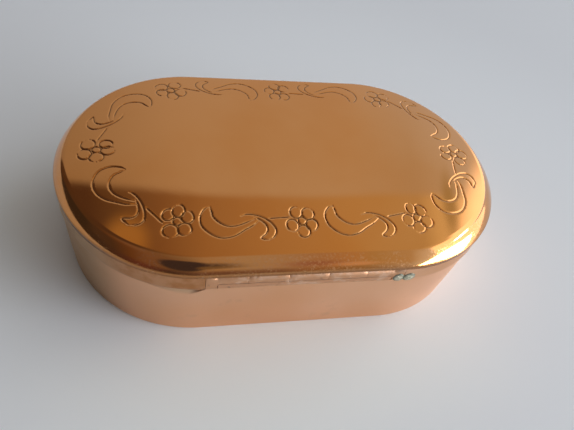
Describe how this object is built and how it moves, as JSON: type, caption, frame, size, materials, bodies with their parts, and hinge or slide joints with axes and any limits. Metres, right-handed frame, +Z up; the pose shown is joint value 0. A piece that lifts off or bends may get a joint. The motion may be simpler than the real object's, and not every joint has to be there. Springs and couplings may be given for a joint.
{
  "type": "snuff box",
  "caption": "Oval copper snuff box with round ends: a soldered sheet body and a low domed lid, engraved with flowers and leaves, on a flush five-knuckle hinge in one long side.",
  "frame": {"origin": "on the table under the middle of the closed box", "axes": "+Z up through the lid, +X along the length of the box, the hinge on the -Y side and the opening edge of the lid on the +Y side"},
  "size_m": [0.084, 0.0494, 0.0233],
  "materials": {
    "lid_copper": "polished copper",
    "body_copper": "satin copper, handled and slightly matte",
    "hinge_copper": "satin copper with whitish blotches of old polish",
    "inside_copper": "dull unpolished copper",
    "pin_brass": "drawn brass wire",
    "solder": "grey soft solder with a green bloom"
  },
  "bodies": {
    "box": {"base_plate": "body_copper", "body_wall": "body_copper", "inner_bezel": "inside_copper", "body_hinge_channel": "inside_copper", "body_knuckle_1": "hinge_copper", "body_knuckle_2": "hinge_copper", "hinge_pin": "pin_brass"},
    "lid": {"lid_plate": "lid_copper", "lid_rim": "body_copper", "lid_hinge_channel": "inside_copper", "lid_knuckle_1": "hinge_copper", "lid_knuckle_2": "hinge_copper", "lid_knuckle_3": "hinge_copper", "solder_tack_knuckle": "solder", "solder_tack_rim": "solder"}
  },
  "joints": [
    {"name": "lid_hinge", "type": "hinge", "parent": "box", "child": "lid", "pos_m": [0, -0.023, 0.01675], "axis": [1, 0, 0], "range_deg": [0, 100]}
  ]
}
